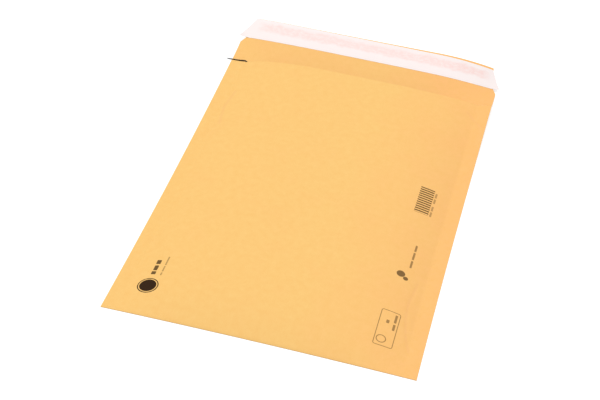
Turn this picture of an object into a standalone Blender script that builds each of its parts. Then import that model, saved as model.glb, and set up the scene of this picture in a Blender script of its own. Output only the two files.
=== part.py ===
"""Padded paper mailer, empty and lying on its back with the self-seal flap open.

A kraft sheet is folded at the foot into a back panel and a front panel, and the back panel runs
on past the mouth as the flap. Bubble film lines it, and both are heat-sealed along the sides.
The flap carries a band of adhesive under a release liner, and an opening thread lies across
the mouth.

Plan positions are measured from the left foot corner of the back panel: x across, y along, with
the mouth at PANEL_LENGTH and the flap beyond it. The finished part has its origin at the centre
of the back panel's outer face, +Y towards the flap and +Z up. Metres.
"""
import math

import bmesh
import bpy

MM = 0.001

# Kraft sheet
PANEL_WIDTH = 240 * MM
PANEL_LENGTH = 350 * MM
KRAFT_THICKNESS = 0.3 * MM
SEAM_WIDTH = 12 * MM

# Puffed front panel
MOUTH_HEIGHT = 10.7 * MM
FOOT_REACH = 100 * MM
PUFF_POWER = 4

# Sides and foot drawn in by the puff
LEFT_DRAW = 1.6 * MM
RIGHT_DRAW = 1.0 * MM
FOOT_DRAW = 1.4 * MM

# Right mouth corner lifted off the table
CORNER_LIFT = 8 * MM
LIFT_WIDTH = 70 * MM
LIFT_LENGTH = 135 * MM

# Flap
FLAP_LENGTH = 60 * MM
FLAP_SKEW = 2.2 * MM
SHOULDER_LENGTH = 5.6 * MM
SHOULDER_INSET = 3.2 * MM
FLAP_TIP_INSET = 7.5 * MM
FLAP_RISE = 11.7 * MM
FLAP_BEND = 1.35
FLAP_EDGE_BEND = 0.6
LEFT_DROOP = 1.5 * MM
LEFT_DROOP_WIDTH = 30 * MM
RIGHT_DROOP = 6.4 * MM
RIGHT_DROOP_WIDTH = 60 * MM

# Bubble film
FILM_THICKNESS = 1.8 * MM
FILM_SEAM_THICKNESS = 0.3 * MM
FILM_SETBACK = 2 * MM
FOOT_WELD = 4 * MM

# Adhesive and its release liner, placed from the flap's tip
LINER_TIP_MARGIN = 0.4 * MM
LINER_DEPTH = 25 * MM
LINER_THICKNESS = 0.3 * MM
LINER_OVERHANG = 2.4 * MM
ADHESIVE_OFFSET = 10 * MM
ADHESIVE_DEPTH = 10 * MM
ADHESIVE_THICKNESS = 0.3 * MM
ADHESIVE_INSET = 11 * MM

# Opening thread
THREAD_DIAMETER = 1.0 * MM
THREAD_OFFSET = 2.5 * MM
THREAD_TAIL = 4.5 * MM
THREAD_TAIL_OFFSET = 0.9 * MM
THREAD_TUCK_LENGTH = 4 * MM
THREAD_TUCK_DEPTH = 1.0 * MM
THREAD_END_MARGIN = 3 * MM

# Clearance between pieces that touch
CONTACT_GAP = 0.3 * MM

# Fineness of the solids
COLUMNS = 18
ROWS = 16
CUTTER_OVERRUN = 5 * MM
MERGE_DISTANCE = 0.001 * MM

# Worked out from the values above
LAYER_INSET = KRAFT_THICKNESS + CONTACT_GAP
SEAM_STACK = 2 * LAYER_INSET + FILM_SEAM_THICKNESS
PUFF_RISE = MOUTH_HEIGHT - SEAM_STACK
FILM_END = PANEL_LENGTH - FILM_SETBACK
LINER_END = FLAP_LENGTH - LINER_TIP_MARGIN
LINER_START = LINER_END - LINER_DEPTH
SHOULDER_START = LINER_START - SHOULDER_LENGTH
ADHESIVE_START = LINER_START + ADHESIVE_OFFSET
ADHESIVE_END = ADHESIVE_START + ADHESIVE_DEPTH
THREAD_TUCK_END = SEAM_WIDTH + THREAD_TUCK_LENGTH
THREAD_END = PANEL_WIDTH - SEAM_WIDTH - THREAD_END_MARGIN


def fill(distance, reach):
    """How far the puff has filled out this far in from an edge, from 0 to 1."""
    share = min(max(distance / reach, 0), 1)
    return 1 - (1 - share) ** PUFF_POWER


def puff(x, y):
    """Rise of the front panel over the sealed seam's level."""
    side_distance = min(x, PANEL_WIDTH - x) - SEAM_WIDTH
    across = fill(side_distance, PANEL_WIDTH / 2 - SEAM_WIDTH)
    return PUFF_RISE * across * fill(y, FOOT_REACH)


def corner_lift(x, y):
    """Lift of the right mouth corner, gone again at the flap's shoulder."""
    across = max(x - (PANEL_WIDTH - LIFT_WIDTH), 0) / LIFT_WIDTH
    if y <= PANEL_LENGTH:
        along = max(y - (PANEL_LENGTH - LIFT_LENGTH), 0) / LIFT_LENGTH
    else:
        along = max(1 - (y - PANEL_LENGTH) / SHOULDER_START, 0)
    return CORNER_LIFT * across ** 2 * along ** 2


def flap_rise(x, y):
    """Height of the flap, which bends up from its hinge at the mouth and droops at its ends."""
    if y <= PANEL_LENGTH:
        return 0
    left = max(1 - x / LEFT_DROOP_WIDTH, 0)
    right = max(x - (PANEL_WIDTH - RIGHT_DROOP_WIDTH), 0) / RIGHT_DROOP_WIDTH
    tip = FLAP_RISE - LEFT_DROOP * left ** 2 - RIGHT_DROOP * right ** 2
    bend = FLAP_BEND + FLAP_EDGE_BEND * abs(2 * x / PANEL_WIDTH - 1) ** 3
    return tip * ((y - PANEL_LENGTH) / FLAP_LENGTH) ** bend


def back_under(x, y):
    """Outer face of the back panel and of the flap."""
    x = min(max(x, 0), PANEL_WIDTH)
    return corner_lift(x, y) + flap_rise(x, y)


def front_over(x, y):
    """Outer face of the front panel."""
    y = min(y, PANEL_LENGTH)
    return corner_lift(x, y) + SEAM_STACK + puff(x, y)


def film_wall(x, y):
    """Thickness of one layer of film: flat in the seams, full where the panel is puffed."""
    pressed = FILM_SEAM_THICKNESS / 2
    return pressed + (FILM_THICKNESS - pressed) * puff(x, y) / PUFF_RISE


def panel_plan(x, y):
    """Plan position on the panels, with the sides and the foot drawn in."""
    across = x / PANEL_WIDTH
    along = min(y / PANEL_LENGTH, 1)
    side_bow = 4 * along * (1 - along)
    foot_bow = 4 * across * (1 - across)
    x += side_bow * (LEFT_DRAW * (1 - across) - RIGHT_DRAW * across)
    y += foot_bow * FOOT_DRAW * (1 - along)
    return x, y


def flap_inset(reach):
    """How far the flap's side has come in, this far past the mouth."""
    shoulder = min(max((reach - SHOULDER_START) / SHOULDER_LENGTH, 0), 1)
    taper = max((reach - LINER_START) / (FLAP_LENGTH - LINER_START), 0)
    return SHOULDER_INSET * shoulder + (FLAP_TIP_INSET - SHOULDER_INSET) * taper


def flap_plan(x, y):
    """Plan position on the flap, tapered at its sides and cut slightly askew at its tip."""
    reach = y - PANEL_LENGTH
    across = x / PANEL_WIDTH
    x += flap_inset(reach) * (1 - 2 * across)
    y += FLAP_SKEW * across * reach / FLAP_LENGTH
    return x, y


def inner_columns():
    """Column places between the two seams, closer together near them."""
    width = PANEL_WIDTH - 2 * SEAM_WIDTH
    turns = [math.pi * step / COLUMNS for step in range(COLUMNS + 1)]
    return [SEAM_WIDTH + width * (1 - math.cos(turn)) / 2 for turn in turns]


def inner_rows():
    """Row places from the foot weld to the film's mouth, closer together near the foot."""
    length = FILM_END - FOOT_WELD
    turns = [math.pi / 2 * step / ROWS for step in range(ROWS + 1)]
    return [FOOT_WELD + length * (1 - math.cos(turn)) for turn in turns]


def flap_rows():
    """Row places on the flap, with one at each corner of its outline and of its strips."""
    hinge = [SHOULDER_START / 6, SHOULDER_START / 2, SHOULDER_START]
    strips = [LINER_START, ADHESIVE_START, ADHESIVE_END, LINER_END, FLAP_LENGTH]
    return [PANEL_LENGTH + reach for reach in hinge + strips]


def grid(columns, rows):
    """A flat grid with its columns and rows at the given places."""
    bm = bmesh.new()
    last_column = len(columns) - 1
    last_row = len(rows) - 1
    bmesh.ops.create_grid(bm, x_segments=last_column, y_segments=last_row, size=1)
    for vert in bm.verts:
        column = round((vert.co.x + 1) / 2 * last_column)
        row = round((vert.co.y + 1) / 2 * last_row)
        vert.co = (columns[column], rows[row], 0)
    return bm


def raise_upper_layer(bm, end):
    """Extrude the faces as far as the row at end upwards, so that the grid has two layers."""
    lower = [face for face in bm.faces if face.calc_center_median().y < end]
    raised = bmesh.ops.extrude_face_region(bm, geom=lower, use_keep_orig=True)
    upper = [item for item in raised["geom"] if isinstance(item, bmesh.types.BMVert)]
    for vert in upper:
        vert.co.z = 1


def shape(bm, plan, lower, upper=None):
    """Move each point to its plan position and to the height of its layer."""
    for vert in bm.verts:
        x, y, layer = vert.co
        height = upper(x, y) if layer > 0.5 else lower(x, y)
        vert.co = (*plan(x, y), height)
    bmesh.ops.remove_doubles(bm, verts=bm.verts, dist=MERGE_DISTANCE)
    bmesh.ops.triangulate(bm, faces=bm.faces, quad_method="FIXED")


def finish(bm, name, collection, color=None, roughness=0.5):
    """Centre the mesh on the back panel and put it in the scene as one object."""
    bmesh.ops.recalc_face_normals(bm, faces=bm.faces)
    bmesh.ops.translate(bm, verts=bm.verts, vec=(-PANEL_WIDTH / 2, -PANEL_LENGTH / 2, 0))
    mesh = bpy.data.meshes.new(name)
    bm.to_mesh(mesh)
    bm.free()
    mesh.shade_smooth()
    mesh.set_sharp_from_angle(angle=math.radians(30))
    piece = bpy.data.objects.new(name, mesh)
    collection.objects.link(piece)
    if color:
        mesh.materials.append(make_material(name, color, roughness))
    return piece


def make_material(name, color, roughness):
    material = bpy.data.materials.new(name)
    material.use_nodes = True
    shader = material.node_tree.nodes["Principled BSDF"]
    shader.inputs["Base Color"].default_value = (*color, 1)
    shader.inputs["Roughness"].default_value = roughness
    return material


def make_kraft_envelope(collection):
    """The folded outer sheet: an open bag surface with the flap, given the paper's thickness."""
    columns = [0] + inner_columns() + [PANEL_WIDTH]
    rows = [0] + inner_rows() + [PANEL_LENGTH]
    bm = grid(columns, rows + flap_rows())
    raise_upper_layer(bm, PANEL_LENGTH)
    mouth_wall = [
        face for face in bm.faces
        if all(abs(vert.co.y - PANEL_LENGTH) < MERGE_DISTANCE for vert in face.verts)
    ]
    bmesh.ops.delete(bm, geom=mouth_wall, context="FACES")
    for vert in bm.verts:
        x, y, layer = vert.co
        if y > PANEL_LENGTH + MERGE_DISTANCE:
            x, y = flap_plan(x, y)
            vert.co = (x, y, back_under(x, y))
        else:
            height = front_over(x, y) if layer > 0.5 else back_under(x, y)
            vert.co = (*panel_plan(x, y), height)
    bmesh.ops.triangulate(bm, faces=bm.faces, quad_method="FIXED")
    bmesh.ops.recalc_face_normals(bm, faces=bm.faces)
    envelope = finish(bm, "kraft_envelope", collection, (0.70, 0.42, 0.15), 0.75)
    paper = envelope.modifiers.new("Paper", "SOLIDIFY")
    paper.thickness = KRAFT_THICKNESS
    paper.offset = -1
    paper.use_even_offset = True


def make_bubble_lining(collection, cutters):
    """The welded film pouch, with the space that the contents go into cut out of it."""
    columns = [LAYER_INSET] + inner_columns() + [PANEL_WIDTH - LAYER_INSET]
    bm = grid(columns, [LAYER_INSET] + inner_rows())
    raise_upper_layer(bm, FILM_END)
    shape(
        bm, panel_plan,
        lower=lambda x, y: back_under(x, y) + LAYER_INSET,
        upper=lambda x, y: front_over(x, y) - LAYER_INSET,
    )
    lining = finish(bm, "bubble_lining", collection, (0.80, 0.83, 0.85), 0.25)

    beyond_mouth = FILM_END + CUTTER_OVERRUN
    bm = grid(inner_columns(), inner_rows() + [beyond_mouth])
    raise_upper_layer(bm, beyond_mouth)
    shape(
        bm, panel_plan,
        lower=lambda x, y: back_under(x, min(y, PANEL_LENGTH)) + LAYER_INSET + film_wall(x, y),
        upper=lambda x, y: front_over(x, y) - LAYER_INSET - film_wall(x, y),
    )
    hollow = finish(bm, "pouch_hollow", cutters)
    hollow.hide_render = True
    hollow.display_type = "WIRE"
    cut = lining.modifiers.new("Pouch", "BOOLEAN")
    cut.operation = "DIFFERENCE"
    cut.object = hollow


def make_flap_strip(name, collection, start, end, sides, lift, thickness, color, roughness):
    """A thin strip that follows the flap, sides giving its left edge's place at each row."""
    columns = [0] + inner_columns() + [PANEL_WIDTH]
    rows = [PANEL_LENGTH + reach for reach in (LINER_START, ADHESIVE_START, ADHESIVE_END, LINER_END)]
    rows = [row for row in rows if PANEL_LENGTH + start <= row <= PANEL_LENGTH + end]

    def strip_plan(x, y):
        left = sides(y - PANEL_LENGTH)
        return left + (PANEL_WIDTH - 2 * left) * x / PANEL_WIDTH, y

    bm = grid(columns, rows)
    raise_upper_layer(bm, rows[-1])
    shape(
        bm, strip_plan,
        lower=lambda x, y: back_under(*strip_plan(x, y)) + lift,
        upper=lambda x, y: back_under(*strip_plan(x, y)) + lift + thickness,
    )
    finish(bm, name, collection, color, roughness)


def liner_side(reach):
    """Left end of the liner: it stands out past the flap at its start and meets the flap's tip."""
    share = (reach - LINER_START) / LINER_DEPTH
    return -LINER_OVERHANG + (FLAP_TIP_INSET + LINER_OVERHANG) * share


def thread_offset(x):
    """How far beyond the mouth the thread lies: it crosses the left seam, then tucks in under
    the front panel and runs along inside the mouth."""
    inward = min(max(x / SEAM_WIDTH, 0), 1)
    outside = THREAD_TAIL_OFFSET + (THREAD_OFFSET - THREAD_TAIL_OFFSET) * inward
    tuck = min(max((x - SEAM_WIDTH) / THREAD_TUCK_LENGTH, 0), 1)
    eased = tuck * tuck * (3 - 2 * tuck)
    return outside - (THREAD_OFFSET + THREAD_TUCK_DEPTH) * eased


def make_tear_thread(collection):
    """The opening thread, stuck down along the mouth, with its tail out past the left seam."""
    radius = THREAD_DIAMETER / 2
    tuck = [SEAM_WIDTH + THREAD_TUCK_LENGTH * step / 6 for step in range(7)]
    rest = [x for x in inner_columns() if THREAD_TUCK_END < x < THREAD_END]
    places = [-THREAD_TAIL, 0] + tuck + rest + [THREAD_END]
    curve = bpy.data.curves.new("tear_thread", "CURVE")
    curve.dimensions = "3D"
    spline = curve.splines.new("POLY")
    spline.points.add(len(places) - 1)
    for point, x in zip(spline.points, places):
        y = PANEL_LENGTH + thread_offset(x)
        z = back_under(x, y) + LAYER_INSET + radius
        point.co = (x - PANEL_WIDTH / 2, y - PANEL_LENGTH / 2, z, 1)
    curve.bevel_depth = radius
    curve.bevel_resolution = 2
    curve.use_fill_caps = True
    curve.materials.append(make_material("tear_thread", (0.02, 0.02, 0.02), 0.6))
    collection.objects.link(bpy.data.objects.new("tear_thread", curve))


def main():
    for old in list(bpy.data.objects):
        bpy.data.objects.remove(old, do_unlink=True)
    parts = bpy.data.collections.new("Padded mailer")
    cutters = bpy.data.collections.new("Cutters")
    bpy.context.scene.collection.children.link(parts)
    bpy.context.scene.collection.children.link(cutters)

    make_kraft_envelope(parts)
    make_bubble_lining(parts, cutters)
    make_flap_strip(
        "adhesive_strip", parts, ADHESIVE_START, ADHESIVE_END,
        sides=lambda reach: ADHESIVE_INSET,
        lift=LAYER_INSET, thickness=ADHESIVE_THICKNESS,
        color=(0.85, 0.60, 0.52), roughness=0.35,
    )
    make_flap_strip(
        "release_liner", parts, LINER_START, LINER_END,
        sides=liner_side,
        lift=LAYER_INSET + ADHESIVE_THICKNESS + CONTACT_GAP, thickness=LINER_THICKNESS,
        color=(0.92, 0.90, 0.90), roughness=0.4,
    )
    make_tear_thread(parts)


main()
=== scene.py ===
"""Padded paper mailer on a plain pale table: kraft sheet, bubble lining, adhesive, liner, thread.

The pieces are drawn on the flat first, as the mailer is made: x runs across it from the left
seam, y along it from the foot fold, with the mouth at the panel's length and the flap beyond.
Heights are over the table. Metres.
"""
import math

import bmesh
import bpy
from bpy.props import FloatProperty, FloatVectorProperty, IntProperty, PointerProperty
from mathutils import Matrix, Vector, noise


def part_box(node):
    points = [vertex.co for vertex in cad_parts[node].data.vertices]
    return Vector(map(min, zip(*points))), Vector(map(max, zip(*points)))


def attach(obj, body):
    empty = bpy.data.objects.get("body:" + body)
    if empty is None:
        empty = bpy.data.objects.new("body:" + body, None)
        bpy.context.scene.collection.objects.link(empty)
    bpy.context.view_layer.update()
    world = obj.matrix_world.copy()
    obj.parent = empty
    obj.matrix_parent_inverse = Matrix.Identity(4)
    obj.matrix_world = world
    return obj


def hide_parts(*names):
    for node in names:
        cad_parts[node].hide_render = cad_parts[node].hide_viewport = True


bl_info = {
    "name": "Padded Mailer",
    "version": (1, 0, 0),
    "blender": (4, 5, 0),
    "location": "View3D > Sidebar > Mailer",
    "description": "Builds a bubble-lined kraft mailer with an open self-seal flap",
    "category": "Object",
}

MM = 0.001

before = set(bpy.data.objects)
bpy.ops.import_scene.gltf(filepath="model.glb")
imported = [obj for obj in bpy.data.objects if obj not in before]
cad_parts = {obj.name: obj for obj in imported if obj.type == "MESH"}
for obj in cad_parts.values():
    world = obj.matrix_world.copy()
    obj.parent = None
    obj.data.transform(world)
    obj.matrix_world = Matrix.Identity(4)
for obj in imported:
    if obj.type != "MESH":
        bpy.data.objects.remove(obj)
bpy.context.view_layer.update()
ENVELOPE_LOW, ENVELOPE_HIGH = (Vector(corner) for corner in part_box("kraft_envelope"))
LINER_LOW, LINER_HIGH = (Vector(corner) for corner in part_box("release_liner"))
THREAD_LOW, THREAD_HIGH = (Vector(corner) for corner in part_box("tear_thread"))


def srgb(red, green, blue):
    """A colour given as eight-bit sRGB values, in the linear values that shaders use."""
    channels = []
    for value in (red, green, blue):
        share = value / 255
        channels.append(share / 12.92 if share <= 0.04045 else ((share + 0.055) / 1.055) ** 2.4)
    return (*channels, 1)


# Sizes read off the frame, whose origin is the middle of the back panel
PANEL_WIDTH = ENVELOPE_HIGH.x - ENVELOPE_LOW.x
PANEL_LENGTH = -2 * ENVELOPE_LOW.y
LINER_REACH = LINER_HIGH.y - PANEL_LENGTH / 2
LINER_DEPTH = LINER_HIGH.y - LINER_LOW.y
LINER_OVERHANG = -PANEL_WIDTH / 2 - LINER_LOW.x
THREAD_TAIL = -PANEL_WIDTH / 2 - THREAD_LOW.x
THREAD_END = PANEL_WIDTH / 2 + THREAD_HIGH.x

# Puffed front panel
FOOT_REACH = 100 * MM
PUFF_POWER = 4
LEFT_DRAW = 1.6 * MM
RIGHT_DRAW = 1.0 * MM
FOOT_DRAW = 1.4 * MM

# Right mouth corner lifted off the table
LIFT_WIDTH = 70 * MM
LIFT_LENGTH = 135 * MM

# Flap
SHOULDER_LENGTH = 5.6 * MM
SHOULDER_INSET = 3.2 * MM
FLAP_TIP_INSET = 7.5 * MM
FLAP_SKEW = 2.2 * MM
FLAP_SKEW_BEND = 1.8
FLAP_CORNER = 8 * MM
FLAP_CORNER_CUT = 1.7 * MM
FLAP_BEND = 1.35
FLAP_EDGE_BEND = 0.6
LEFT_DROOP = 1.5 * MM
LEFT_DROOP_WIDTH = 30 * MM
RIGHT_DROOP = 6.4 * MM
RIGHT_DROOP_WIDTH = 60 * MM

# Bubble film, in layers as thin as the real ones
FILM_SEAL = 0.16 * MM
LAYER_GAP = 0.04 * MM
WEB_THICKNESS = 0.08 * MM
WEB_EDGE = 0.6 * MM
WEB_FOOT = 1.5 * MM
BUBBLE_CLEARANCE = 0.02 * MM
BUBBLE_FOOT = 3 * MM
BUBBLE_SWELL = 0.82
BUBBLE_TOP_SHARE = 0.4
BUBBLE_POWER = 3.2
RIM_POWER = 4
MOUTH_SETBACK = 2 * MM

# Unevenness of the paper
SAG_SCALE = 55 * MM
SAG_DEPTH = 0.45 * MM
SAG_SEED = 3.1
SMALL_SAG_SHARE = 0.45
SMALL_SAG_SCALE = SAG_SCALE / 2.3
SMALL_SAG_SEED = 7.7
PUCKER_SPACING = 15 * MM
PUCKER_REACH = 16 * MM
PUCKER_DEPTH = 0.22 * MM
PUCKER_FADE = 0.3
PUCKER_SEED = 1.3
BUBBLE_SHOW = 0.07 * MM
DETAIL_FADE = 9 * MM
SEAM_EASE = 3 * MM

# Creases in the front panel, in mm: points across and along it, half width and depth
CREASES = (
    (((222, 100), (219.5, 76), (220.5, 58), (224.5, 39), (229, 26)), 1.3, 0.32),
    (((221, 336), (228, 328), (236, 320)), 1.5, 0.14),
    (((17, 300), (13.5, 276), (16.5, 250)), 1.5, 0.06),
)

# Adhesive, with its ridges per metre across and along, and the liner over it
ADHESIVE_OFFSET = 10 * MM
ADHESIVE_DEPTH = 10 * MM
ADHESIVE_INSET = 11 * MM
ADHESIVE_THICKNESS = 0.072 * MM
ADHESIVE_TOP = 0.122 * MM
ADHESIVE_RIDGE = 0.018 * MM
ADHESIVE_RIDGE_RATES = (300, 900)
LINER_THICKNESS = 0.09 * MM
LINER_GAP = 0.04 * MM
LINER_RIPPLE = 0.03 * MM
LINER_RIPPLE_SIZE = (22 * MM, 9 * MM)
LINER_SEED = 5
LINER_RISE = 0.168 * MM
LINER_RISE_REACH = 7 * MM
LINER_RISE_POWER = 6
LINER_SETBACK = 0.8 * MM
LINER_EXTRA_OVERHANG = 0.9 * MM
LINER_RIGHT_TRIM = 0.05 * MM
LINER_CURL = 1.3 * MM
LINER_CURL_WIDTH = 9 * MM
LINER_CURL_BEND = 1.5
LINER_CURL_FADE = 0.7

# Thread, with the sizes of its plies as shares of its diameter
THREAD_OFFSET = 2.5 * MM
THREAD_TAIL_OFFSET = 0.7 * MM
THREAD_TUCK_START = 0.7 * MM
THREAD_TUCK_LENGTH = 6 * MM
THREAD_TUCK_DEPTH = 1.0 * MM
THREAD_GAP = 0.05 * MM
THREAD_TRIM = 0.1 * MM
THREAD_TAPER = 5 * MM
THREAD_TIP_SHARE = 0.45
THREAD_POINTS = 900
PLY_SIDES = 8
PLY_RADIUS_SHARE = 0.26
PLY_SWING_SHARE = 0.24

# Mesh steps, and the slack for rounding when they are counted
STEP_SLACK = 1e-6
FINE_STEP = 1.2 * MM
PANEL_STEP = 2 * MM
FINE_REACH = 26 * MM
BACK_STEP = 6 * MM
WEB_STEP = 4 * MM
WEB_ROW_STEP = 5 * MM
STRIP_STEP = 1 * MM
ADHESIVE_SHARE_STEP = 0.01
LINER_SHARE_STEP = 0.008
THREAD_STEPS = (1.5 * MM, 0.5 * MM, 3 * MM)
FOLD_ANGLES = (60, 30, 0, -30, -60)

# Printed marks on the front panel, in mm. Each has its centre across and along first. A block
# goes on with half width, half length and corner, and a disc or a ring with its radii.
ROUNDEL = (26.2, 29.8, 8.0, 7.2, 6.4)
ROUNDEL_BLOCKS = (
    (25.9, 44.2, 1.7, 1.7, 0.5), (25.9, 50.1, 1.5, 2.9, 0.4), (25.9, 57.1, 1.7, 2.3, 0.5),
)
ROUNDEL_DASHES = (
    (32.1, 43.6, 0.55, 1.6, 0.2), (32.1, 49.6, 0.55, 3.1, 0.2), (32.1, 58.9, 0.55, 5.0, 0.2),
)
STRIPE_FIELD = (208.4, 199.4, 6.0, 17.0, 0.2)
STRIPE_PITCH = 2.83 * MM
STRIPE_SHARE = 0.55
STRIPE_DASHES = (
    (216.2, 185.4, 0.8, 3.0, 0.3), (216.2, 193.0, 0.8, 3.0, 0.3),
    (216.2, 203.2, 0.8, 3.0, 0.3), (216.2, 210.8, 0.8, 3.0, 0.3),
)
DISCS = ((207.4, 104.2, 3.4), (211.9, 100.6, 2.0))
DISC_DASHES = (
    (213.1, 118.4, 0.8, 4.2, 0.3), (213.1, 128.6, 0.8, 4.4, 0.3), (213.1, 138.4, 0.8, 3.8, 0.3),
)
OUTLINE_BOX = (209.2, 41.4, 7.6, 18.7, 1.8)
OUTLINE_WIDTH = 0.65
BOX_RING = (207.0, 29.4, 3.9, 3.1)
BOX_DASHES = (
    (213.8, 53.4, 0.9, 4.2, 0.3), (213.9, 44.2, 0.9, 3.2, 0.3), (208.4, 48.4, 1.1, 1.7, 0.4),
)
INK_EDGE = 0.12 * MM

# Where the materials' tones change on the flat sheets, and their second tones
# Painted shade: across these places the kraft turns redder towards its right seam, standing in for
# the shade on the slope there
PAINTED_SHADE_DRIFT = (140 * MM, 240 * MM)
# Painted shade along the creases spreads this much wider than their dents
CREASE_SHADE_SPREAD = 1.3
FILM_RIM = (0.15 * MM, 0.5 * MM)
BLOTCH_LEFT = (10 * MM, 20 * MM)
BLOTCH_RIGHT = (224 * MM, 232 * MM)
BLOTCH_BAND = (3.4 * MM, 6.4 * MM)
BLOTCH_WANDER = 7 * MM
FLECK_COLOR = srgb(241, 186, 104)
# Colour of the painted shade along the creases
CREASE_SHADE_COLOR = srgb(240, 181, 121)
FILM_STREAK_COLOR = srgb(236, 240, 244)
ADHESIVE_RIDGE_COLOR = srgb(238, 200, 180)
YARN_HAIR_COLOR = srgb(112, 98, 88)

# Stage
FLOOR_SIZE = 8
FLOOR_GAP = 0.05 * MM
SOFTBOX_PLACE = (-1.2, 0.9, 7.0)
SOFTBOX_SIZE = (6, 5)
SENSOR_WIDTH = 36


class KraftSettings(bpy.types.PropertyGroup):
    """Sizes and colours of the kraft sheet."""
    panel_width: FloatProperty(
        name="Panel width", description="Width of the folded mailer over its seams",
        default=PANEL_WIDTH, unit="LENGTH")
    panel_length: FloatProperty(
        name="Panel length", description="Length from the foot fold to the mouth",
        default=PANEL_LENGTH, unit="LENGTH")
    flap_length: FloatProperty(
        name="Flap length", description="Length of the flap past the mouth at its left end",
        default=60 * MM, unit="LENGTH")
    seam_width: FloatProperty(
        name="Seam width", description="Width of each heat-sealed side",
        default=12 * MM, unit="LENGTH")
    mouth_height: FloatProperty(
        name="Mouth height", description="Height of the puffed front panel at the mouth",
        default=10.2 * MM, unit="LENGTH")
    corner_lift: FloatProperty(
        name="Corner lift", description="Height of the right mouth corner over the table",
        default=8 * MM, unit="LENGTH")
    flap_rise: FloatProperty(
        name="Flap rise", description="Height of the flap's tip over the table",
        default=11.7 * MM, unit="LENGTH")
    paper_thickness: FloatProperty(
        name="Paper thickness", description="Thickness of the kraft sheet",
        default=0.22 * MM, unit="LENGTH")
    golden: FloatVectorProperty(
        name="Golden kraft", description="The paper's main colour",
        default=srgb(247, 201, 124), size=4, subtype="COLOR", min=0, max=1)
    # The warm tone is also used as painted shade, which grows redder towards the right seam
    warm: FloatVectorProperty(
        name="Warm kraft", description="The redder tone that drifts over the sheet",
        default=srgb(251, 190, 122), size=4, subtype="COLOR", min=0, max=1)
    ink: FloatVectorProperty(
        name="Ink", description="The brown ink of the printed marks",
        default=srgb(50, 29, 6), size=4, subtype="COLOR", min=0, max=1)


class LiningSettings(bpy.types.PropertyGroup):
    """Sizes and colour of the bubble film."""
    bubble_diameter: FloatProperty(
        name="Bubble diameter", description="Diameter of each air bubble",
        default=9.2 * MM, unit="LENGTH")
    bubble_pitch: FloatProperty(
        name="Bubble pitch", description="Distance between neighbouring bubbles",
        default=10.5 * MM, unit="LENGTH")
    bubble_height: FloatProperty(
        name="Bubble height", description="Height of a bubble where the panel is fully puffed",
        default=1.75 * MM, unit="LENGTH")
    bubble_sides: IntProperty(
        name="Bubble sides", description="Sides of each bubble's round", default=12, min=6)
    film: FloatVectorProperty(
        name="Film", description="Colour of the clear film",
        default=srgb(248, 250, 252), size=4, subtype="COLOR", min=0, max=1)


class StripSettings(bpy.types.PropertyGroup):
    """Colours of the release liner and of the adhesive under it."""
    liner: FloatVectorProperty(
        name="Liner", description="White siliconed liner paper",
        default=srgb(245, 236, 234), size=4, subtype="COLOR", min=0, max=1)
    blotch: FloatVectorProperty(
        name="Blotches", description="Where the liner has wetted out on the adhesive",
        default=srgb(245, 216, 211), size=4, subtype="COLOR", min=0, max=1)
    adhesive: FloatVectorProperty(
        name="Adhesive", description="Hot-melt adhesive",
        default=srgb(226, 176, 156), size=4, subtype="COLOR", min=0, max=1)


class ThreadSettings(bpy.types.PropertyGroup):
    """Size and colour of the opening thread."""
    diameter: FloatProperty(
        name="Thread diameter", description="Diameter over the twisted plies",
        default=1.15 * MM, unit="LENGTH")
    twist_pitch: FloatProperty(
        name="Twist pitch", description="Length of one full turn of the plies",
        default=3.2 * MM, unit="LENGTH")
    yarn: FloatVectorProperty(
        name="Yarn", description="Colour of the thread",
        default=srgb(22, 16, 12), size=4, subtype="COLOR", min=0, max=1)


class StageSettings(bpy.types.PropertyGroup):
    """Camera, light and floor."""
    camera_place: FloatVectorProperty(
        name="Camera place", description="Where the camera stands",
        default=(0.1747, -0.9857, 0.8), size=3, subtype="TRANSLATION")
    camera_azimuth: FloatProperty(
        name="Camera azimuth", description="Turn of the view to the left of straight ahead",
        default=math.radians(10.67), subtype="ANGLE")
    camera_elevation: FloatProperty(
        name="Camera elevation", description="How far the camera looks down",
        default=math.radians(38.62), subtype="ANGLE")
    camera_roll: FloatProperty(
        name="Camera roll", description="Roll of the camera about its view",
        default=math.radians(5.67), subtype="ANGLE")
    camera_lens: FloatProperty(
        name="Lens", description="Focal length on a sensor 36 mm wide",
        default=94.14, unit="CAMERA")
    world_strength: FloatProperty(
        name="Sky light", description="Strength of the even light from all round", default=0.635)
    lamp_power: FloatProperty(
        name="Softbox power", description="Power of the large softbox overhead",
        default=276, unit="POWER")
    floor: FloatVectorProperty(
        name="Floor", description="Colour of the table",
        default=srgb(200, 200, 200), size=4, subtype="COLOR", min=0, max=1)
    floor_glow: FloatProperty(
        name="Floor glow", description="Extra white that only the camera sees on the table",
        default=0.65)


def clamped(value):
    """The value, kept from 0 to 1."""
    return min(max(value, 0), 1)


def segment_distance(point, start, end):
    """Distance in plan from a point to a straight run."""
    along = Vector(end) - Vector(start)
    offset = Vector(point) - Vector(start)
    share = clamped(offset.dot(along) / along.length_squared)
    return (offset - along * share).length


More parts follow.
